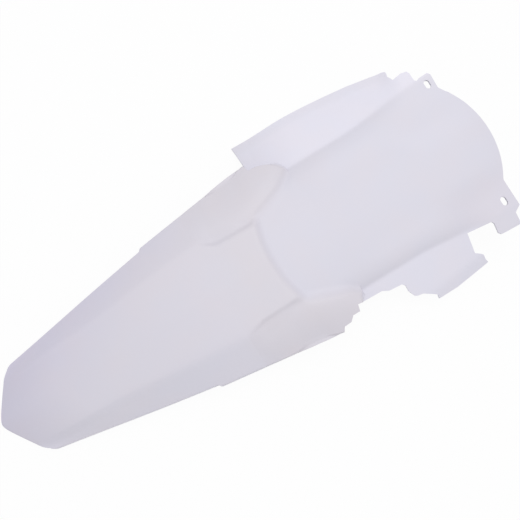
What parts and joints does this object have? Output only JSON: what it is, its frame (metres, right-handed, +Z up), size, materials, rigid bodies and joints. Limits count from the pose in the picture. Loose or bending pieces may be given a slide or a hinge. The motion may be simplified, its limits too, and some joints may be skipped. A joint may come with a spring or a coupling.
{
  "type": "motorcycle rear fender",
  "caption": "One-piece moulded rear fender for an off-road motorcycle, with a long tail, a seat recess, side wings and slotted front tabs.",
  "frame": {"origin": "midway between the two front mounting slots, on the upper face of their tabs", "axes": "+X forward along the motorcycle, +Y to the rider's left, +Z up, square to the tabs"},
  "size_m": [0.639, 0.2812, 0.0694],
  "materials": {
    "polypropylene": "satin, as moulded, slightly translucent white"
  },
  "bodies": {
    "root": {"fender": "polypropylene"}
  },
  "joints": []
}
